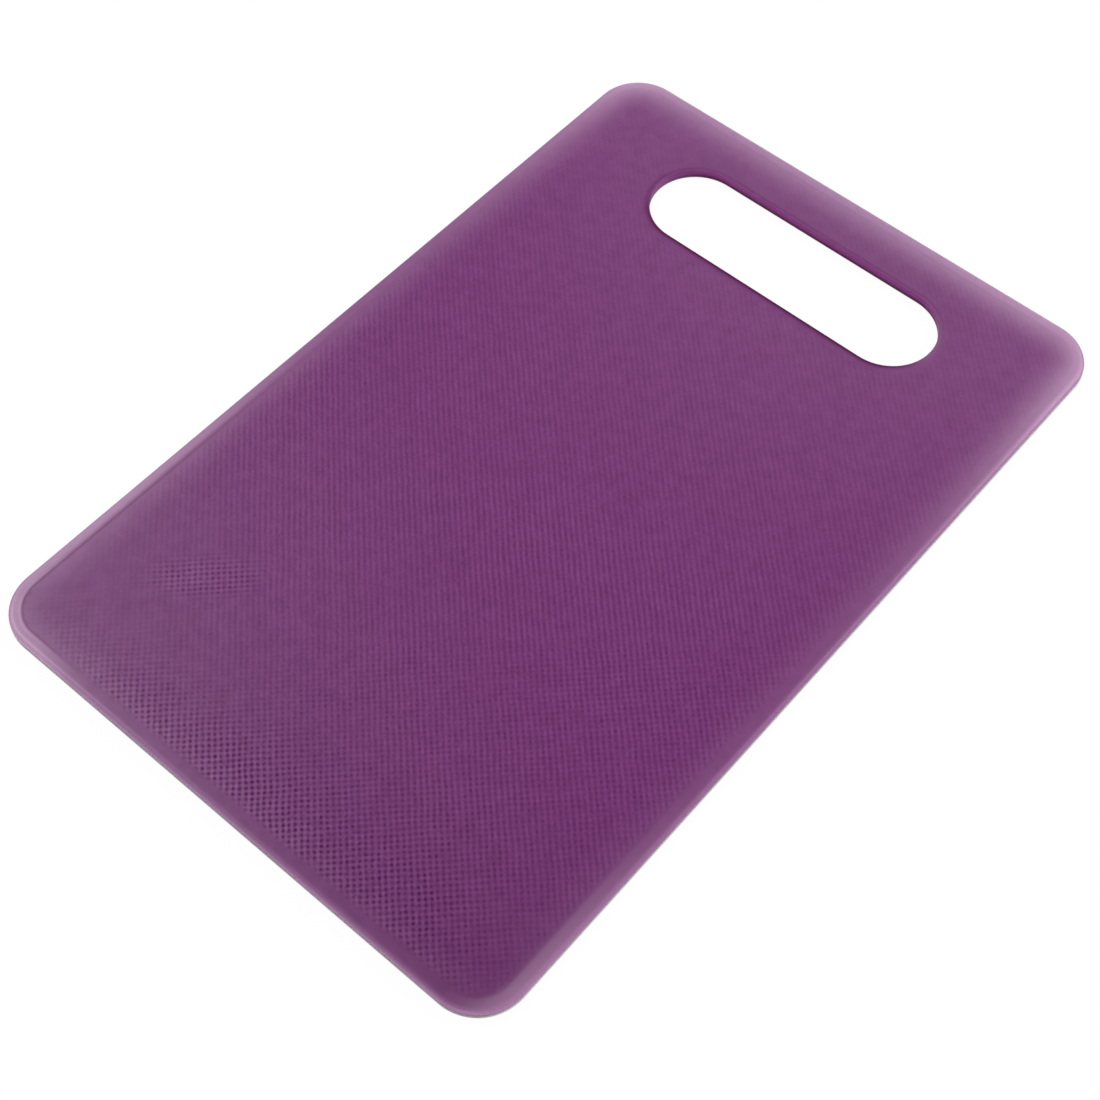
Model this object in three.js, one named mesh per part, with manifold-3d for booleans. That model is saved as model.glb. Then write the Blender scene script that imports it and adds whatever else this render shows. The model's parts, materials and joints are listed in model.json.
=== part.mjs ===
// A thin moulded kitchen cutting board: one rounded slab with a hand slot near one short side,
// a smooth rounded border, and a cutting face that lies just below the border and the slot's lip.
// Millimetres, +Z up. The origin is on the underside, below the middle of the outline.
// X runs across the board, and +Y runs along it towards the slot.

import * as THREE from 'three';
import { mergeVertices } from 'three/addons/utils/BufferGeometryUtils.js';
import Module from 'manifold-3d';

// Slab
const boardWidth = 160;
const boardLength = 244;
const boardThickness = 2.5;
const cornerRadius = 13;
const edgeRadius = 1;

// Hand slot with half-round ends
const slotLength = 91;
const slotWidth = 26.7;
const slotToEnd = 30; // from the slot's middle line to the nearer end of the board
const slotEdgeRadius = 0.4;

// Cutting face
const borderWidth = 3; // smooth border round the board
const lipWidth = 1.2; // smooth lip round the slot
const faceRecess = 0.1; // depth below the border and the lip
const stepRun = 0.5; // width of the slope down to the cutting face

// Plastic
const plasticColor = 0x773e73;
const plasticRoughness = 0.45;

// Facets
const segmentsPerArc = 16; // along each corner and each slot end
const segmentsPerEdge = 5; // across each rounded edge

// A rounded edge never takes more than this share of the slab's thickness
const largestEdgeShare = 0.45;
const largestRounding = largestEdgeShare * boardThickness;
const edgeRounding = Math.min(edgeRadius, largestRounding);
const slotRounding = Math.min(slotEdgeRadius, largestRounding);

// The pocket's cutter stands this far above the slab, and the slotted plate this far beyond its outline
const cutterHeadroom = 1;
const plateMargin = 5;

const slotCentreY = boardLength / 2 - slotToEnd;
const quarterTurn = Math.PI / 2;

const wasm = await Module();
wasm.setup();

function roundedRectangle(path, width, length, radius) {
  const x = width / 2 - radius;
  const y = length / 2 - radius;
  path.absarc(x, y, radius, 0, quarterTurn);
  path.absarc(-x, y, radius, quarterTurn, 2 * quarterTurn);
  path.absarc(-x, -y, radius, 2 * quarterTurn, 3 * quarterTurn);
  path.absarc(x, -y, radius, 3 * quarterTurn, 4 * quarterTurn);
  return path;
}

function roundEndedSlot(path, length, width) {
  const radius = width / 2;
  const x = length / 2 - radius;
  path.absarc(x, slotCentreY, radius, -quarterTurn, quarterTurn);
  path.absarc(-x, slotCentreY, radius, quarterTurn, 3 * quarterTurn);
  return path;
}

// An arc of a shape is divided into twice as many segments as this setting says
const arcSetting = { curveSegments: segmentsPerArc / 2 };

// A flat plate of the board's thickness, with every edge of its outline and holes rounded
function roundedPlate(outline, rounding) {
  const geometry = new THREE.ExtrudeGeometry(outline, {
    ...arcSetting,
    depth: boardThickness - 2 * rounding,
    bevelThickness: rounding,
    bevelSize: rounding,
    bevelOffset: -rounding,
    bevelSegments: segmentsPerEdge,
  });
  return solidFrom(geometry.translate(0, 0, rounding));
}

function slab() {
  const outline = roundedRectangle(new THREE.Shape(), boardWidth, boardLength, cornerRadius);
  return roundedPlate(outline, edgeRounding);
}

// A wider plate that gives the slab its slot, because the slot's edges are rounded less than the outline
function slottedPlate() {
  const width = boardWidth + 2 * plateMargin;
  const length = boardLength + 2 * plateMargin;
  const outline = roundedRectangle(new THREE.Shape(), width, length, cornerRadius);
  outline.holes.push(roundEndedSlot(new THREE.Path(), slotLength, slotWidth));
  return roundedPlate(outline, slotRounding);
}

// The space above the cutting face, inside the border and round the slot's lip
function pocket() {
  const width = boardWidth - 2 * borderWidth;
  const length = boardLength - 2 * borderWidth;
  const outline = roundedRectangle(new THREE.Shape(), width, length, cornerRadius - borderWidth);
  outline.holes.push(roundEndedSlot(new THREE.Path(), slotLength + 2 * lipWidth, slotWidth + 2 * lipWidth));
  const geometry = new THREE.ExtrudeGeometry(outline, {
    ...arcSetting,
    depth: cutterHeadroom,
    bevelThickness: faceRecess,
    bevelSize: stepRun,
    bevelOffset: -stepRun,
    bevelSegments: 1,
  });
  return solidFrom(geometry.translate(0, 0, boardThickness));
}

function solidFrom(geometry) {
  geometry.deleteAttribute('normal');
  geometry.deleteAttribute('uv');
  const merged = mergeVertices(geometry);
  return new wasm.Manifold(new wasm.Mesh({
    numProp: 3,
    vertProperties: merged.attributes.position.array,
    triVerts: Uint32Array.from(merged.index.array),
  }));
}

function geometryFrom(solid) {
  const { vertProperties, triVerts } = solid.getMesh();
  const geometry = new THREE.BufferGeometry();
  geometry.setAttribute('position', new THREE.BufferAttribute(vertProperties, 3));
  geometry.setIndex(new THREE.BufferAttribute(triVerts, 1));
  geometry.computeVertexNormals();
  return geometry;
}

function board() {
  const solid = slab().intersect(slottedPlate()).subtract(pocket());
  const plastic = new THREE.MeshStandardMaterial({
    color: plasticColor,
    roughness: plasticRoughness,
    metalness: 0,
  });
  const mesh = new THREE.Mesh(geometryFrom(solid), plastic);
  mesh.name = 'board';
  return mesh;
}

const cuttingBoard = new THREE.Group();
cuttingBoard.name = 'cutting_board';
cuttingBoard.add(board());

export default cuttingBoard;
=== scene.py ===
# The looks of a thin purple cutting board: its moulded mesh, smooth border, plastic with painted light and
# shade, and studio light.
# Everything is in metres, in the frame of the imported model. The hand slot is at the far end, towards +Y.
# The corners are named as the camera sees them: near is +X -Y, left -X -Y, right +X +Y and far -X +Y.
import json
import math

import bmesh
import bpy
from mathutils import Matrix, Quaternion, Vector
from mathutils.geometry import delaunay_2d_cdt


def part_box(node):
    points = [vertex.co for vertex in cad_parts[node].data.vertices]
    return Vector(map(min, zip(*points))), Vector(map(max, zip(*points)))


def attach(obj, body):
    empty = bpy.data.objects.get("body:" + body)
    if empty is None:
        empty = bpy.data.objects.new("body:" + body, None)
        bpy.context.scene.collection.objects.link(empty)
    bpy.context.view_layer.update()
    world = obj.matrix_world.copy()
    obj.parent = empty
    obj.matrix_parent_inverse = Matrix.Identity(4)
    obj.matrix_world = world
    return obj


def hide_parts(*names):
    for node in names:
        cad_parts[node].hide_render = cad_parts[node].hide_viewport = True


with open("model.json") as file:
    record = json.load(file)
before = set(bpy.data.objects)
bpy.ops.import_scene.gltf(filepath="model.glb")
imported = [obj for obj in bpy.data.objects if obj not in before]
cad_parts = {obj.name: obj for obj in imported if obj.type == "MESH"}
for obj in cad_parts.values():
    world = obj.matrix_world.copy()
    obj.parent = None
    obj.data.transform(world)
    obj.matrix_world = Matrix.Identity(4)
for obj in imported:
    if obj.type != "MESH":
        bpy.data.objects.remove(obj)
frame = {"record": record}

MM = 0.001
QUARTER_TURN = math.pi / 2

# The slab, from the frame
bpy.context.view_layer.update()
board_low, board_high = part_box("board")
BOARD_WIDTH = board_high.x - board_low.x
BOARD_LENGTH = board_high.y - board_low.y
TOP_Z = board_high.z
UNDERSIDE_Z = board_low.z
CORNER_RADIUS = 13 * MM
EDGE_RADIUS = 1 * MM

# The hand slot, centred on the opening that the record states
slot_low, slot_high = frame["record"]["physics"]["openings"][0]["box_m"]
SLOT_CENTRE_Y = (slot_low[1] + slot_high[1]) / 2
SLOT_LENGTH = 91 * MM
SLOT_WIDTH = 26.7 * MM
SLOT_EDGE_RADIUS = 0.4 * MM

# The border, the slot's lip and the cutting face inside them
BORDER_WIDTH = 3 * MM
LIP_WIDTH = 1.2 * MM
FACE_RECESS = 0.02 * MM
STEP_RUN = 0.6 * MM
FACE_Z = TOP_Z - FACE_RECESS

# The moulded mesh: ridges at 45 degrees to the sides, with a pit in each diamond between them
DIAMOND_WIDTH = 2 * MM
GRID_STEP = DIAMOND_WIDTH / 2
PIT_DEPTH = 0.03 * MM
MESH_MARGIN = 0.1 * MM

# Steps along the curves and across the edges
CORNER_STEPS = 16
SLOT_END_STEPS = 32
SIDE_STEP = 2 * MM
EDGE_STEPS = 8
BORDER_STEPS = 8
STEP_STEPS = 6

# The triangulation's setting that keeps only the triangles inside the outlines, and its tolerance
TRIANGLES_INSIDE = 1
TRIANGLE_TOLERANCE = 1e-9

# Corners, by the signs of their sides
NEAR_CORNER = 1, -1
LEFT_CORNER = -1, -1
RIGHT_CORNER = 1, 1
FAR_CORNER = -1, 1

# Camera
CAMERA_AZIMUTH = math.radians(40.25)
CAMERA_ELEVATION = math.radians(57.23)
CAMERA_ROLL = math.radians(0.65)
CAMERA_DISTANCE = 478.1 * MM
CAMERA_AIM = Vector((9.7 * MM, -19.0 * MM, 0))
CAMERA_CLIP = 10 * MM
LENS_MM = 63.58
SENSOR_MM = 36

# The picture's right and the way towards the camera, laid on the board
RIGHT_IN_PICTURE = Vector((math.cos(CAMERA_AZIMUTH), math.sin(CAMERA_AZIMUTH)))
TOWARDS_CAMERA = Vector((math.sin(CAMERA_AZIMUTH), -math.cos(CAMERA_AZIMUTH)))

# How strongly the painted light on the ridges and the painted shade in the pits stand out over the cutting
# face
FIELD_SHADES = 0.36
FIELD_RISE = 1.65  # how steeply it rises from nothing at the slot's end to full strength
FAR_END_SHARE = 0.3  # the least share on the right-hand side, which falls to none on the left
FIELD_LEVEL_SHARE = 0.4  # of the ridges that look level
CROSSED_START = 42 * MM  # where those ridges begin, down the picture from the board's middle
CROSSED_RUN = 15 * MM

# The same in a band along the near end
NEAR_END_SHADES = 0.82
NEAR_END_LEVEL_SHARE = 0.76
NEAR_END_REACH = 28 * MM  # on the right
NEAR_END_LEFT_REACH = 15 * MM
NEAR_END_WIDENING = -30 * MM, 40 * MM  # from this place across the board, over this run
NEAR_END_RISE = -75 * MM, 45 * MM  # from nothing at this place to full strength, over this run

# The same in a small patch by the left corner, placed along the picture's right and up
LEFT_PATCH_SHADES = 0.45
LEFT_PATCH_PLACE = Vector((-88 * MM, -31 * MM))
LEFT_PATCH_REACH = 14 * MM, 6 * MM

# How much of that is lost at the left and near corners, and how far from them across and along the board
LEFT_LOSS = 1
LEFT_LOSS_REACH = 60 * MM, 60 * MM
NEAR_LOSS = 0.8
NEAR_LOSS_REACH = 22 * MM, 36 * MM
LOSS_SHARPNESS = 2.5

# Over this run from the border and the lip, the ridges' shades come up to their full strength
MESH_FADE = 1.2 * MM

# Where both kinds of ridge show, how far the pits between them stand apart as dots of painted shade
PIT_SHARPNESS = 0.32

# A wide painted haze of light near the outline
VEIL_HAZE = 0.09
VEIL_REACH = 6.5 * MM
NEAR_VEIL_LOSS = 0.3
NEAR_VEIL_REACH = 20 * MM
FAR_END_VEIL = 0.3
LEFT_SIDE_VEIL = 0.05
LEFT_CORNER_VEIL = 0.22
RIGHT_CORNER_VEIL = 0.3
FAR_CORNER_VEIL = 0.32

# Painted light on parts of the border
FAR_END_BORDER = 0.06
LEFT_CORNER_BORDER = 0.38
NEAR_CORNER_BORDER = 0.52
BORDER_REACH = 3.2 * MM
BORDER_SLANT = 0.15  # how much wider it looks on the right-hand side, and narrower on the left

# Painted highlights on the roundings of the near edges and of the slot's right end, with heights as shares
# of the thickness
EDGE_HIGHLIGHT = 0.75
EDGE_FACING_LIMIT = 0.65
EDGE_REACH = 0.8 * MM
EDGE_HEIGHT = 0.55
SLOT_END_HIGHLIGHT = 0.12
SLOT_END_REACH = 1.5 * MM

# Thin painted highlights: on the rims by the left and right corners, and inside the left corner's border
RIM_LINE = 0.3
RIM_LINE_DEPTH = 0.9 * MM
RIM_LINE_WIDTH = 0.45 * MM
TIP_LINE = 0.3
TIP_LINE_DEPTH = 2.8 * MM
TIP_LINE_WIDTH = 0.4 * MM

# How far the painted light, and the painted shade of the crease, reach from the slot's end, and across and
# along the board from its corners
FAR_END_REACH = 66 * MM
LEFT_CORNER_REACH = 35 * MM, 90 * MM
LEFT_BORDER_REACH = 25 * MM, 95 * MM
NEAR_CORNER_REACH = 12 * MM, 40 * MM
RIGHT_CORNER_REACH = 40 * MM, 34 * MM
FAR_CORNER_REACH = 15 * MM, 15 * MM
LEFT_RIM_REACH = 45 * MM, 20 * MM
RIGHT_RIM_REACH = 20 * MM, 60 * MM
LEFT_TIP_REACH = 18 * MM, 18 * MM

# Painted shade: dark lines at the step, round the slot and on the lower edges, with heights as shares of the
# thickness
CREASE_SHADE = 0.34
CREASE_DEPTH = BORDER_WIDTH + 0.8 * STEP_RUN
CREASE_WIDTH = 0.25 * MM
LIP_CREASE_SHADE = 0.4
LIP_CREASE_DEPTH = 0.9 * LIP_WIDTH
LIP_CREASE_WIDTH = 0.6 * MM
SLOT_WALL_REACH = 1.2 * MM
SLOT_WALL_HEIGHT = 0.45
LOWER_EDGE_SHADE = 0.85
LOWER_EDGE_HEIGHT = 0.4
FAR_RIM_SHADE = 0.3
FAR_RIM_REACH = 0.5 * MM

# Less light on the strip between the slot and the board's end, and at the near end
STRIP_SHADE = 0.12
STRIP_REACH = 9 * MM
NEAR_END_DIMNESS = 0.13
NEAR_END_DIM_REACH = 45 * MM

# Light that comes through the rounded rims: the slot's on its far side and left end, and the right-hand edge
SLOT_GLOW_REACH = 0.4 * MM
LEFT_END_GLOW = 0.4
EDGE_GLOW = 0.4
EDGE_GLOW_REACH = 0.8 * MM

# Colours as a screen shows them: the plastic's purple, lighter on its ridges by painted light and darker in
# its pits by painted shade, and the colours of the painted light, shade, glow and dimness over it
LIT_RIDGE_COLOUR = 113, 30, 110
SHADED_PIT_COLOUR = 83, 20, 81
# Colour of the painted haze and highlights
PAINTED_LIGHT_COLOUR = 176, 139, 171
SHADE_COLOUR = 76, 12, 62
GLOW_COLOUR = 125, 44, 120
DIM_COLOUR = 0, 0, 0

# Gloss and depth of the plastic
SHEEN = 0.37
SHEEN_OF_RIDGES = 0.6
ROUGHNESS = 0.4
ROUGHNESS_SPREAD = 0.1
PLASTIC_IOR = 1.49
SCATTER_SHARE = 0.2
SCATTER_DEPTH = 2 * MM
SCATTER_BY_COLOUR = 1.0, 0.5, 1.0

# Unevenness of the ridges and the plastic: its strength, and how many grains it has in a metre
PATCH_CONTRAST = 1.2
PATCH_GRAINS = 30
FLECK_CONTRAST = 2
FLECK_GRAINS = 450
MOTTLE = 0.9
MOTTLE_GRAINS = 300
GRIT = 3
GRIT_GRAINS = 1200
WOBBLE = 1 * MM
WOBBLE_GRAINS = 110
SKIN_STRENGTH = 0.08
SKIN_HEIGHT = 0.05 * MM
SKIN_GRAINS = 2500

# Studio
FLOOR_SIZE = 6
FLOOR_GAP = 0.05 * MM
FLOOR_GREY = 0.9
FLOOR_WHITE_SHARE = 0.96
CONTACT_REACH = 0.15 * MM
ROOM_STRENGTH = 0.36

# Name, place, size in metres and power in watts of each lamp
SOFTBOXES = (
    ("back_softbox", Vector((-0.25, 0.75, 0.42)), 0.45, 2.8),
    ("high_left_softbox", Vector((-0.9, 0, 1.0)), 0.5, 8.7),
    ("front_softbox", Vector((0.45, -0.95, 0.3)), 0.6, 4.6),
    ("right_softbox", Vector((0.6, 0.75, 0.5)), 0.5, 6.9),
)


# Outlines


def rounded_loop(centres, radius, first_angle, sweep, arc_steps):
    """Points of a closed outline of equal arcs joined by straight sides, counter-clockwise."""
    points = []
    for number, centre in enumerate(centres):
        start = first_angle + number * sweep
        for step in range(arc_steps + 1):
            angle = start + sweep * step / arc_steps
            points.append(centre + radius * Vector((math.cos(angle), math.sin(angle))))
        side = centres[(number + 1) % len(centres)] - centre
        side_steps = round(side.length / SIDE_STEP)
        side_start = points[-1]
        points += [side_start + side * step / side_steps for step in range(1, side_steps)]
    return points


def board_loop(depth):
    """The board's outline, drawn in by depth."""
    x = BOARD_WIDTH / 2 - CORNER_RADIUS
    y = BOARD_LENGTH / 2 - CORNER_RADIUS
    centres = [Vector((x, y)), Vector((-x, y)), Vector((-x, -y)), Vector((x, -y))]
    return rounded_loop(centres, CORNER_RADIUS - depth, 0, QUARTER_TURN, CORNER_STEPS)


def slot_loop(depth):
    """The slot's outline, grown by depth into the plastic round it."""
    x = (SLOT_LENGTH - SLOT_WIDTH) / 2
    centres = [Vector((x, SLOT_CENTRE_Y)), Vector((-x, SLOT_CENTRE_Y))]
    radius = SLOT_WIDTH / 2 + depth
    return rounded_loop(centres, radius, -QUARTER_TURN, 2 * QUARTER_TURN, SLOT_END_STEPS)


def beyond_corner_centres(x, y):
    """How far a point lies beyond the centres of the corners, across and along the board."""
    across = abs(x) - (BOARD_WIDTH / 2 - CORNER_RADIUS)
    along = abs(y) - (BOARD_LENGTH / 2 - CORNER_RADIUS)
    return across, along


def depth_in_board(x, y):
    """Distance from a point of the board out to its outline."""
    across, along = beyond_corner_centres(x, y)
    beyond = math.hypot(max(across, 0), max(along, 0)) + min(max(across, along), 0)
    return CORNER_RADIUS - beyond


def depth_from_slot(x, y):
    """Distance from a point of the board to the slot's wall."""
    along = max(abs(x) - (SLOT_LENGTH - SLOT_WIDTH) / 2, 0)
    return math.hypot(along, y - SLOT_CENTRE_Y) - SLOT_WIDTH / 2


def edge_profile(border, radius):
    """Depth and height round an edge: up the cutting face's step, over the border and down the side."""
    profile = []
    for step in range(STEP_STEPS + 1):
        share = step / STEP_STEPS
        rise = share * share * (3 - 2 * share)
        profile.append((border + STEP_RUN * (1 - share), FACE_Z + FACE_RECESS * rise))
    for step in range(1, BORDER_STEPS):
        share = step / BORDER_STEPS
        profile.append((border + (radius - border) * share, TOP_Z))
    for centre_z, start in ((TOP_Z - radius, QUARTER_TURN), (UNDERSIDE_Z + radius, 0)):
        for step in range(EDGE_STEPS + 1):
            angle = start - QUARTER_TURN * step / EDGE_STEPS
            profile.append((radius * (1 - math.cos(angle)), centre_z + radius * math.sin(angle)))
    profile.append((border + STEP_RUN, UNDERSIDE_Z))
    return profile


# The board's mesh


class Surface:
    """Vertices and faces that are joined as they are added."""

    def __init__(self):
        self.vertices = []
        self.faces = []

    def add_points(self, points, z):
        first = len(self.vertices)
        self.vertices += [(x, y, z) for x, y in points]
        return list(range(first, len(self.vertices)))

    def add_edge(self, loop_at, profile):
        """A strip round an edge. Returns its first and last loops."""
        loops = [self.add_points(loop_at(depth), z) for depth, z in profile]
        for upper, lower in zip(loops, loops[1:]):
            for here in range(len(upper)):
                after = (here + 1) % len(upper)
                self.faces.append((upper[here], lower[here], lower[after], upper[after]))
        return loops[0], loops[-1]

    def add_mesh_face(self, outer, inner, ridge_z, pit_z):
        """One face of the board: its moulded mesh, and the flat margin out to the two loops."""
        squares, rim = self.add_moulded_mesh(ridge_z, pit_z)
        loops = [(loop[here - 1], loop[here]) for loop in (outer, inner) for here in range(len(loop))]
        edges = loops + rim
        used = sorted({vertex for edge in edges for vertex in edge})
        place = {vertex: number for number, vertex in enumerate(used)}
        flat = [Vector(self.vertices[vertex][:2]) for vertex in used]
        joined = [(place[a], place[b]) for a, b in edges]
        result = delaunay_2d_cdt(flat, joined, [], TRIANGLES_INSIDE, TRIANGLE_TOLERANCE)
        triangles, sources = result[2], result[3]
        for triangle in triangles:
            corners = [sources[corner][0] for corner in triangle]
            middle = sum((flat[corner] for corner in corners), Vector((0, 0))) / 3
            square = (math.floor(middle.x / GRID_STEP), math.floor(middle.y / GRID_STEP))
            in_slot = depth_from_slot(*middle) < LIP_WIDTH + STEP_RUN
            if square not in squares and not in_slot:
                self.faces.append(tuple(used[corner] for corner in corners))

    def add_moulded_mesh(self, ridge_z, pit_z):
        """Ridges along the diagonals of a square grid, and a pit at every second point.

        Returns the grid's squares and the edges at its rim."""
        squares = squares_of_mesh()
        squares_at = {}
        for corners in squares.values():
            for corner in corners:
                squares_at[corner] = squares_at.get(corner, 0) + 1
        number_of = {}
        for (column, row), count in sorted(squares_at.items()):
            is_pit = (column + row) % 2 and count == 4
            number_of[column, row] = len(self.vertices)
            self.vertices.append((column * GRID_STEP, row * GRID_STEP, pit_z if is_pit else ridge_z))
        uses = {}
        for (column, row), corners in squares.items():
            a, b, c, d = (number_of[corner] for corner in corners)
            ridge_through_a = (column + row) % 2 == 0
            halves = ((a, b, c), (a, c, d)) if ridge_through_a else ((a, b, d), (b, c, d))
            self.faces += halves
            for edge in ((a, b), (b, c), (c, d), (d, a)):
                key = tuple(sorted(edge))
                uses[key] = uses.get(key, 0) + 1
        return squares, [edge for edge, count in uses.items() if count == 1]


def squares_of_mesh():
    """The grid squares that lie wholly inside the border and round the lip, with their corners."""
    columns = int(BOARD_WIDTH / 2 / GRID_STEP)
    rows = int(BOARD_LENGTH / 2 / GRID_STEP)
    held = set()
    for column in range(-columns, columns + 1):
        for row in range(-rows, rows + 1):
            if depth_in_mesh(column * GRID_STEP, row * GRID_STEP) >= MESH_MARGIN:
                held.add((column, row))
    squares = {}
    for column, row in sorted(held):
        corners = ((column, row), (column + 1, row), (column + 1, row + 1), (column, row + 1))
        if held.issuperset(corners):
            squares[column, row] = corners
    return squares


def depth_in_mesh(x, y):
    """Distance from a point of the cutting face to the nearest step, at the border or the lip."""
    from_border = depth_in_board(x, y) - BORDER_WIDTH - STEP_RUN
    from_lip = depth_from_slot(x, y) - LIP_WIDTH - STEP_RUN
    return min(from_border, from_lip)


# Places on the board


def as_share(value):
    """A value held between 0 and 1."""
    return min(max(value, 0), 1)


def ramp(value, start, run):
    """A share that rises evenly from 0 at the start to 1 at the end of the run."""
    return as_share((value - start) / run)


def fade(distance, reach, sharpness=1.5):
    """A share that falls smoothly from 1 at no distance to nearly nothing past twice the reach."""
    return math.exp(-((max(distance, 0) / reach) ** sharpness))


def corner_fade(x, y, corner, reach, sharpness=1.5):
    """A share that falls with the distance from a corner of the board."""
    across = (x - corner[0] * BOARD_WIDTH / 2) / reach[0]
    along = (y - corner[1] * BOARD_LENGTH / 2) / reach[1]
    return fade(math.hypot(across, along), 1, sharpness)


def near_end_fade(y, reach):
    return fade(y + BOARD_LENGTH / 2, reach)


def far_end_fade(y, reach):
    return fade(BOARD_LENGTH / 2 - y, reach)


def outward(x, y):
    """Direction from a point to the nearest part of the outline."""
    across, along = beyond_corner_centres(x, y)
    if across > 0 and along > 0:
        direction = Vector((across, along)).normalized()
    else:
        direction = Vector((1, 0)) if across > along else Vector((0, 1))
    return Vector((math.copysign(direction.x, x), math.copysign(direction.y, y)))


def across_slot(y):
    """A point's place across the slot, from -1 at its near side to 1 at its far side."""
    return (y - SLOT_CENTRE_Y) / (SLOT_WIDTH / 2)


def along_slot(x):
    """A point's place along the slot, from -1 at its left end to 1 at its right end."""
    return x / (SLOT_LENGTH / 2)


def in_picture(x, y):
    """A point's place along the picture's right and up directions, laid on the board."""
    point = Vector((x, y))
    return Vector((point.dot(RIGHT_IN_PICTURE), -point.dot(TOWARDS_CAMERA)))


def share_of_height(z):
    return (z - UNDERSIDE_Z) / (TOP_Z - UNDERSIDE_Z)


# How strongly the painted light on the ridges and the painted shade in the pits stand out at a point


def left_corner_share(x, y):
    """The share of the shades that remains towards the left corner."""
    return 1 - LEFT_LOSS * corner_fade(x, y, LEFT_CORNER, LEFT_LOSS_REACH, LOSS_SHARPNESS)


def near_corner_share(x, y):
    """The share of the shades that remains towards the near corner."""
    return 1 - NEAR_LOSS * corner_fade(x, y, NEAR_CORNER, NEAR_LOSS_REACH, LOSS_SHARPNESS)


def field_shade(x, y):
    """Over the whole cutting face."""
    near_share = FIELD_RISE * (0.5 - y / BOARD_LENGTH)
    far_share = FAR_END_SHARE * (0.5 + x / BOARD_WIDTH)
    strength = FIELD_SHADES * as_share(max(near_share, far_share))
    return strength * left_corner_share(x, y) * near_corner_share(x, y)


def near_end_shade(x, y):
    """In a band along the near end that narrows and ends to the left."""
    reach = NEAR_END_LEFT_REACH + (NEAR_END_REACH - NEAR_END_LEFT_REACH) * ramp(x, *NEAR_END_WIDENING)
    strength = NEAR_END_SHADES * ramp(x, *NEAR_END_RISE)
    return strength * near_end_fade(y, reach) * near_corner_share(x, y)


def left_patch_shade(x, y):
    """In a small patch near the left corner."""
    offset = in_picture(x, y) - LEFT_PATCH_PLACE
    distance = math.hypot(offset.x / LEFT_PATCH_REACH[0], offset.y / LEFT_PATCH_REACH[1])
    return LEFT_PATCH_SHADES * fade(distance, 1, sharpness=4)


def upright_shade(x, y):
    """For the ridges that look upright in the camera's view."""
    strongest = max(field_shade(x, y), near_end_shade(x, y), left_patch_shade(x, y))
    return strongest * ramp(depth_in_mesh(x, y), 0, MESH_FADE)


def level_shade(x, y):
    """For the ridges that look level in the camera's view."""
    crossed = ramp(-in_picture(x, y).y, CROSSED_START, CROSSED_RUN)
    field = FIELD_LEVEL_SHARE * crossed * field_shade(x, y)
    near_end = NEAR_END_LEVEL_SHARE * near_end_shade(x, y)
    strongest = max(field, near_end, left_patch_shade(x, y))
    return strongest * ramp(depth_in_mesh(x, y), 0, MESH_FADE)


# How much painted light, as haze and highlights, lies on the plastic at a point


def veil(x, y):
    """A wide painted haze of light near the outline, strongest at the slot's end and at the corners."""
    strength = VEIL_HAZE * (1 - NEAR_VEIL_LOSS * near_end_fade(y, NEAR_VEIL_REACH))
    strength += FAR_END_VEIL * far_end_fade(y, FAR_END_REACH)
    strength += LEFT_SIDE_VEIL * (0.5 - x / BOARD_WIDTH)
    strength += LEFT_CORNER_VEIL * corner_fade(x, y, LEFT_CORNER, LEFT_CORNER_REACH)
    strength += RIGHT_CORNER_VEIL * corner_fade(x, y, RIGHT_CORNER, RIGHT_CORNER_REACH)
    strength += FAR_CORNER_VEIL * corner_fade(x, y, FAR_CORNER, FAR_CORNER_REACH, sharpness=2)
    return strength * fade(depth_in_board(x, y), VEIL_REACH, sharpness=2)


def left_border(x, y):
    """The part of the border round the left corner, as a share."""
    return corner_fade(x, y, LEFT_CORNER, LEFT_BORDER_REACH, sharpness=4)


def painted_border_light(x, y):
    """Painted light on the smooth border, at the slot's end and at the left and near corners."""
    right = outward(x, y).x
    strength = FAR_END_BORDER * far_end_fade(y, FAR_END_REACH)
    strength += LEFT_CORNER_BORDER * left_border(x, y)
    strength += NEAR_CORNER_BORDER * corner_fade(x, y, NEAR_CORNER, NEAR_CORNER_REACH) * max(right, 0)
    reach = BORDER_REACH * (1 + BORDER_SLANT * right ** 3)
    return strength * fade(depth_in_board(x, y), reach, sharpness=8)


def painted_edge_highlight(x, y, z):
    """A painted highlight on the upper rounding of the edges that face the camera."""
    facing = max(outward(x, y).dot(TOWARDS_CAMERA), 0)
    upper = 1 - fade(share_of_height(z), EDGE_HEIGHT, sharpness=6)
    strength = EDGE_HIGHLIGHT * min(facing, EDGE_FACING_LIMIT) * upper
    return strength * fade(depth_in_board(x, y), EDGE_REACH, sharpness=2)


def painted_slot_end_highlight(x, y):
    """A painted highlight on the lip at the slot's right end."""
    strength = SLOT_END_HIGHLIGHT * max(along_slot(x), 0) ** 4
    return strength * fade(depth_from_slot(x, y), SLOT_END_REACH, sharpness=2)


def painted_highlight_lines(x, y):
    """Thin painted highlights on the rims by the left and right corners, and inside the left corner's
    border.
    """
    depth = depth_in_board(x, y)
    facing = outward(x, y)
    left_rim = corner_fade(x, y, LEFT_CORNER, LEFT_RIM_REACH, sharpness=2) * max(-facing.y, 0)
    right_rim = corner_fade(x, y, RIGHT_CORNER, RIGHT_RIM_REACH, sharpness=2) * max(facing.x, 0)
    rim = RIM_LINE * (left_rim + right_rim) * fade(abs(depth - RIM_LINE_DEPTH), RIM_LINE_WIDTH, sharpness=2)
    tip = TIP_LINE * corner_fade(x, y, LEFT_CORNER, LEFT_TIP_REACH, sharpness=4)
    return rim + tip * fade(abs(depth - TIP_LINE_DEPTH), TIP_LINE_WIDTH, sharpness=2)


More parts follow.
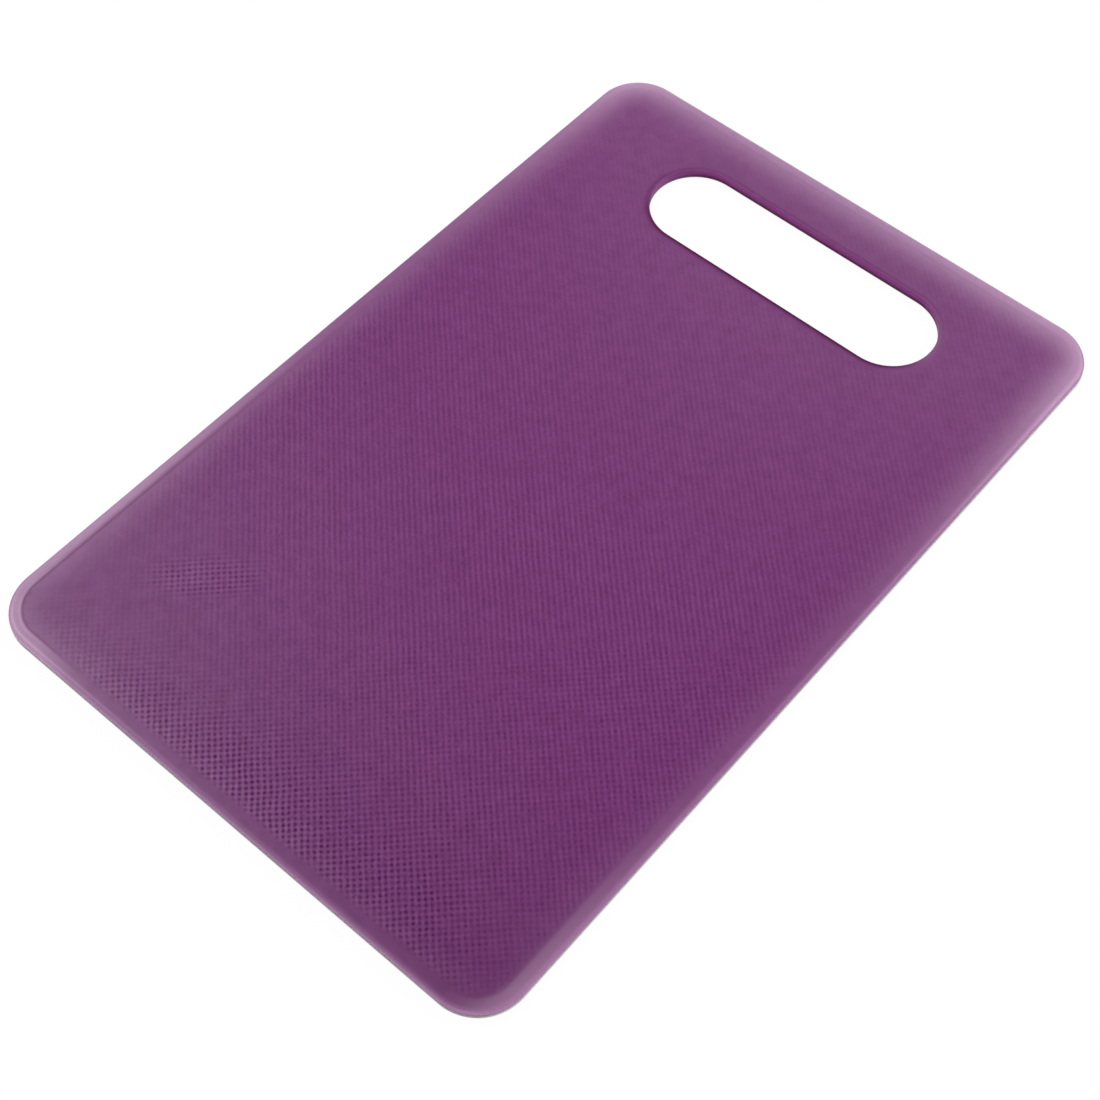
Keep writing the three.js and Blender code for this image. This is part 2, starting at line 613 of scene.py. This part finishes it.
def painted_light(x, y, z):
    upper_face = veil(x, y) + painted_border_light(x, y) + painted_highlight_lines(x, y)
    return upper_face + painted_edge_highlight(x, y, z) + painted_slot_end_highlight(x, y)


# Painted shade on the plastic at a point


def crease(x, y):
    """Painted shade at the foot of the border's step, round the left corner."""
    from_crease = abs(depth_in_board(x, y) - CREASE_DEPTH)
    return CREASE_SHADE * left_border(x, y) * fade(from_crease, CREASE_WIDTH, sharpness=2)


def lip_crease(x, y):
    """Painted shade at the foot of the lip's step, on the slot's far side and left end."""
    strength = LIP_CREASE_SHADE * as_share(max(across_slot(y), -along_slot(x)))
    from_crease = abs(depth_from_slot(x, y) - LIP_CREASE_DEPTH)
    return strength * fade(from_crease, LIP_CREASE_WIDTH, sharpness=2)


def slot_wall(x, y, z):
    """Painted shade on the slot's near side, and on the lower part of its far side."""
    across = across_slot(y)
    lowness = fade(share_of_height(z), SLOT_WALL_HEIGHT, sharpness=3) if across > 0 else 1
    return min(abs(across), 1) * lowness * fade(depth_from_slot(x, y), SLOT_WALL_REACH, sharpness=3)


def lower_edge(x, y, z):
    """Painted shade on the lower rounding of the board's edges."""
    lowness = fade(share_of_height(z), LOWER_EDGE_HEIGHT, sharpness=6)
    return LOWER_EDGE_SHADE * lowness * fade(depth_in_board(x, y), EDGE_RADIUS, sharpness=4)


def slot_strip(x, y):
    """Painted shade on the strip between the slot and the board's end."""
    strength = STRIP_SHADE * as_share(across_slot(y))
    return strength * fade(depth_from_slot(x, y), STRIP_REACH, sharpness=3)


def far_rim(x, y):
    """Painted shade on the rim at the slot's end of the board."""
    strength = FAR_RIM_SHADE * max(outward(x, y).y, 0)
    return strength * fade(depth_in_board(x, y), FAR_RIM_REACH, sharpness=2)


def shade(x, y, z):
    edges = max(slot_wall(x, y, z), lower_edge(x, y, z), far_rim(x, y))
    return max(edges, crease(x, y), lip_crease(x, y), slot_strip(x, y))


def dimness(x, y):
    """How much less light reaches the near end, most of all on its right, but not its rounded edge."""
    inside = 1 - fade(depth_in_board(x, y), EDGE_RADIUS, sharpness=2)
    return NEAR_END_DIMNESS * near_end_fade(y, NEAR_END_DIM_REACH) * (1 + x / BOARD_WIDTH) * inside


def glow(x, y):
    """How much light comes through the slot's rim and the right-hand edge."""
    slot_side = as_share(max(across_slot(y), -LEFT_END_GLOW * along_slot(x)))
    slot = slot_side * fade(depth_from_slot(x, y), SLOT_GLOW_REACH, sharpness=4)
    edge = EDGE_GLOW * max(outward(x, y).x, 0) * fade(depth_in_board(x, y), EDGE_GLOW_REACH, sharpness=2)
    return max(slot, edge)


# The board


def add_values(mesh, name, values):
    attribute = mesh.attributes.new(name, "FLOAT", "POINT")
    attribute.data.foreach_set("value", values)


def turn_faces_outward(mesh):
    working = bmesh.new()
    working.from_mesh(mesh)
    bmesh.ops.recalc_face_normals(working, faces=working.faces)
    working.to_mesh(mesh)
    working.free()


def make_board():
    surface = Surface()
    border_top, border_under = surface.add_edge(board_loop, edge_profile(BORDER_WIDTH, EDGE_RADIUS))
    lip_top, lip_under = surface.add_edge(slot_loop, edge_profile(LIP_WIDTH, SLOT_EDGE_RADIUS))
    surface.add_mesh_face(border_top, lip_top, FACE_Z, FACE_Z - PIT_DEPTH)
    surface.add_mesh_face(border_under, lip_under, UNDERSIDE_Z, UNDERSIDE_Z + PIT_DEPTH)
    mesh = bpy.data.meshes.new("cutting_board")
    mesh.from_pydata(surface.vertices, [], surface.faces)
    mesh.shade_smooth()
    add_values(mesh, "upright", [upright_shade(x, y) for x, y, z in surface.vertices])
    add_values(mesh, "level", [level_shade(x, y) for x, y, z in surface.vertices])
    add_values(mesh, "painted_light", [painted_light(x, y, z) for x, y, z in surface.vertices])
    add_values(mesh, "dimness", [dimness(x, y) for x, y, z in surface.vertices])
    add_values(mesh, "glow", [glow(x, y) for x, y, z in surface.vertices])
    add_values(mesh, "shade", [shade(x, y, z) for x, y, z in surface.vertices])
    turn_faces_outward(mesh)
    board = bpy.data.objects.new("cutting_board", mesh)
    bpy.context.scene.collection.objects.link(board)
    return board


# Materials


class Nodes:
    """Short names for making and joining shader nodes."""

    def __init__(self, tree):
        self.tree = tree
        tree.nodes.clear()

    def add(self, kind, values=None, **settings):
        node = self.tree.nodes.new(kind)
        for name, value in settings.items():
            setattr(node, name, value)
        for socket, value in (values or {}).items():
            if isinstance(value, bpy.types.NodeSocket):
                self.tree.links.new(value, node.inputs[socket])
            else:
                node.inputs[socket].default_value = value
        return node

    def math(self, operation, *values):
        node = self.add("ShaderNodeMath", dict(enumerate(values)), operation=operation)
        return node.outputs[0]

    def attribute(self, name):
        return self.add("ShaderNodeAttribute", attribute_name=name).outputs["Fac"]

    def noise(self, place, grains, detail):
        """Smooth noise from 0 to 1, with so many grains in a metre."""
        values = {"Vector": place, "Scale": grains, "Detail": detail}
        return self.add("ShaderNodeTexNoise", values).outputs["Fac"]

    def spread(self, noise, contrast, middle):
        """Noise spread evenly about a middle value."""
        return self.math("MULTIPLY_ADD", noise, contrast, middle - contrast / 2)

    def mix(self, share, first, second):
        values = {"Factor": share, 6: first, 7: second}
        return self.add("ShaderNodeMix", values, data_type="RGBA").outputs[2]


def srgb(red, green, blue):
    """A colour as a screen shows it, from 0 to 255, made linear."""
    def linear(value):
        share = value / 255
        return share / 12.92 if share <= 0.04045 else ((share + 0.055) / 1.055) ** 2.4

    return linear(red), linear(green), linear(blue), 1.0


def ridge_shades(nodes, place, cloud):
    """Painted light on the ridges and painted shade in the pits between them, uneven from patch to patch and
    from pit to pit.
    """
    axes = nodes.add("ShaderNodeSeparateXYZ", {0: place}).outputs
    patches = nodes.spread(cloud, PATCH_CONTRAST, 1)
    flecks = nodes.spread(nodes.noise(place, FLECK_GRAINS, 2), FLECK_CONTRAST, 1)
    unevenness = nodes.math("MULTIPLY", patches, flecks)
    wobble = nodes.math("MULTIPLY", nodes.noise(place, WOBBLE_GRAINS, 2), WOBBLE)
    shades = nodes.spread(nodes.noise(place, MOTTLE_GRAINS, 4), MOTTLE, 0)
    waves = []
    strengths = []
    for name, operation in (("upright", "ADD"), ("level", "SUBTRACT")):
        across = nodes.math("ADD", nodes.math(operation, axes["X"], axes["Y"]), wobble)
        wave = nodes.math("COSINE", nodes.math("MULTIPLY", across, math.pi / GRID_STEP))
        strength = nodes.math("MULTIPLY", nodes.attribute(name), unevenness)
        shades = nodes.math("MULTIPLY_ADD", wave, strength, shades)
        waves.append(wave)
        strengths.append(strength)
    weaker = nodes.math("MULTIPLY", nodes.math("MINIMUM", *strengths), -PIT_SHARPNESS)
    shades = nodes.math("MULTIPLY_ADD", nodes.math("MULTIPLY", *waves), weaker, shades)
    grit = nodes.spread(nodes.noise(place, GRIT_GRAINS, 2), GRIT, 0)
    return nodes.math("MULTIPLY_ADD", grit, nodes.attribute("upright"), shades)


def plastic_colour(nodes, ridges):
    """The plastic's purple with painted light on its ridges and painted shade in its pits, under the painted
    light, glow, shade and dimness.
    """
    share = nodes.math("MULTIPLY_ADD", ridges, 0.5, 0.5)
    colour = nodes.mix(share, srgb(*SHADED_PIT_COLOUR), srgb(*LIT_RIDGE_COLOUR))
    colour = nodes.mix(nodes.attribute("painted_light"), colour, srgb(*PAINTED_LIGHT_COLOUR))
    colour = nodes.mix(nodes.attribute("glow"), colour, srgb(*GLOW_COLOUR))
    colour = nodes.mix(nodes.attribute("shade"), colour, srgb(*SHADE_COLOUR))
    return nodes.mix(nodes.attribute("dimness"), colour, srgb(*DIM_COLOUR))


def plastic_sheen(nodes, ridges):
    """A gloss that is stronger on the ridges and gone in the painted dark lines."""
    sheen = nodes.math("MULTIPLY_ADD", ridges, SHEEN * SHEEN_OF_RIDGES, SHEEN)
    return nodes.math("MULTIPLY", sheen, nodes.math("SUBTRACT", 1.0, nodes.attribute("shade")))


def board_plastic():
    material = bpy.data.materials.new("board_plastic")
    material.use_nodes = True
    nodes = Nodes(material.node_tree)
    place = nodes.add("ShaderNodeTexCoord").outputs["Object"]
    cloud = nodes.noise(place, PATCH_GRAINS, 3)
    ridges = ridge_shades(nodes, place, cloud)
    skin = nodes.add("ShaderNodeBump", {
        "Strength": SKIN_STRENGTH,
        "Distance": SKIN_HEIGHT,
        "Height": nodes.noise(place, SKIN_GRAINS, 2),
    })
    shader = nodes.add("ShaderNodeBsdfPrincipled", {
        "Base Color": plastic_colour(nodes, ridges),
        "Roughness": nodes.math("MULTIPLY_ADD", cloud, ROUGHNESS_SPREAD, ROUGHNESS),
        "Normal": skin.outputs["Normal"],
        "IOR": PLASTIC_IOR,
        "Specular IOR Level": plastic_sheen(nodes, ridges),
        "Subsurface Weight": SCATTER_SHARE,
        "Subsurface Radius": SCATTER_BY_COLOUR,
        "Subsurface Scale": SCATTER_DEPTH,
    })
    nodes.add("ShaderNodeOutputMaterial", {"Surface": shader.outputs["BSDF"]})
    return material


def gap_to_board(nodes):
    """How far a point of the floor is outside the board. Points inside the slot count as clear of it."""
    place = nodes.add("ShaderNodeTexCoord").outputs["Object"]
    axes = nodes.add("ShaderNodeSeparateXYZ", {0: place}).outputs

    def beyond(axis, half, middle=0.0):
        from_middle = nodes.math("ABSOLUTE", nodes.math("SUBTRACT", axes[axis], middle))
        return nodes.math("MAXIMUM", nodes.math("SUBTRACT", from_middle, half), 0.0)

    def length(across, along):
        squares = nodes.math("MULTIPLY_ADD", across, across, nodes.math("MULTIPLY", along, along))
        return nodes.math("SQRT", squares)

    to_corner = length(
        beyond("X", BOARD_WIDTH / 2 - CORNER_RADIUS),
        beyond("Y", BOARD_LENGTH / 2 - CORNER_RADIUS),
    )
    to_slot = length(beyond("X", (SLOT_LENGTH - SLOT_WIDTH) / 2), beyond("Y", 0.0, SLOT_CENTRE_Y))
    outside = nodes.math("SUBTRACT", to_corner, CORNER_RADIUS)
    in_slot = nodes.math("SUBTRACT", SLOT_WIDTH / 2 + CONTACT_REACH, to_slot)
    return nodes.math("MAXIMUM", outside, in_slot)


def floor_paper():
    """Pale paper that looks white to the camera and in reflections, and keeps the board's shadow."""
    material = bpy.data.materials.new("floor_paper")
    material.use_nodes = True
    nodes = Nodes(material.node_tree)
    rays = nodes.add("ShaderNodeLightPath").outputs
    seen = nodes.math("MAXIMUM", rays["Is Camera Ray"], rays["Is Glossy Ray"])
    seen = nodes.math("MAXIMUM", seen, rays["Is Transmission Ray"])
    paper = nodes.add("ShaderNodeBsdfDiffuse", {"Color": (FLOOR_GREY, FLOOR_GREY, FLOOR_GREY, 1)})
    white = nodes.add("ShaderNodeEmission", {"Color": (1, 1, 1, 1), "Strength": 1})
    clear = nodes.add("ShaderNodeMapRange", {"Value": gap_to_board(nodes), "From Max": CONTACT_REACH})
    share = nodes.math("MULTIPLY", nodes.math("MULTIPLY", seen, clear.outputs[0]), FLOOR_WHITE_SHARE)
    mixed = nodes.add("ShaderNodeMixShader", {0: share, 1: paper.outputs[0], 2: white.outputs[0]})
    nodes.add("ShaderNodeOutputMaterial", {"Surface": mixed.outputs[0]})
    return material


# Stage


def make_floor():
    half = FLOOR_SIZE / 2
    z = UNDERSIDE_Z - FLOOR_GAP
    corners = [(-half, -half, z), (half, -half, z), (half, half, z), (-half, half, z)]
    mesh = bpy.data.meshes.new("floor")
    mesh.from_pydata(corners, [], [(0, 1, 2, 3)])
    mesh.materials.append(floor_paper())
    floor = bpy.data.objects.new("floor", mesh)
    bpy.context.scene.collection.objects.link(floor)


def aim(direction):
    """The turn that points an object's -Z along direction, with its +Y up."""
    return direction.to_track_quat("-Z", "Y")


def make_camera():
    data = bpy.data.cameras.new("camera")
    data.lens = LENS_MM
    data.sensor_width = SENSOR_MM
    data.clip_start = CAMERA_CLIP
    camera = bpy.data.objects.new("camera", data)
    level = TOWARDS_CAMERA * math.cos(CAMERA_ELEVATION)
    back = Vector((level.x, level.y, math.sin(CAMERA_ELEVATION)))
    camera.location = CAMERA_AIM + back * CAMERA_DISTANCE
    camera.rotation_mode = "QUATERNION"
    camera.rotation_quaternion = aim(-back) @ Quaternion((0, 0, 1), CAMERA_ROLL)
    bpy.context.scene.collection.objects.link(camera)
    bpy.context.scene.camera = camera


def make_softbox(name, place, size, power):
    data = bpy.data.lights.new(name, "AREA")
    data.shape = "SQUARE"
    data.size = size
    data.energy = power
    lamp = bpy.data.objects.new(name, data)
    lamp.location = place
    lamp.rotation_mode = "QUATERNION"
    lamp.rotation_quaternion = aim(-place)
    bpy.context.scene.collection.objects.link(lamp)


def make_world():
    """An even room light that looks white to the camera."""
    world = bpy.data.worlds.new("studio")
    world.use_nodes = True
    nodes = Nodes(world.node_tree)
    rays = nodes.add("ShaderNodeLightPath").outputs
    room = nodes.add("ShaderNodeBackground", {"Color": (1, 1, 1, 1), "Strength": ROOM_STRENGTH})
    white = nodes.add("ShaderNodeBackground", {"Color": (1, 1, 1, 1), "Strength": 1})
    mixed = nodes.add("ShaderNodeMixShader", {
        0: rays["Is Camera Ray"],
        1: room.outputs[0],
        2: white.outputs[0],
    })
    nodes.add("ShaderNodeOutputWorld", {"Surface": mixed.outputs[0]})
    bpy.context.scene.world = world


make_camera()
make_world()
make_floor()
for softbox in SOFTBOXES:
    make_softbox(*softbox)

board = make_board()
board.data.materials.append(board_plastic())
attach(board, "root")
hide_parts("board")

bpy.context.scene.view_settings.view_transform = "Standard"
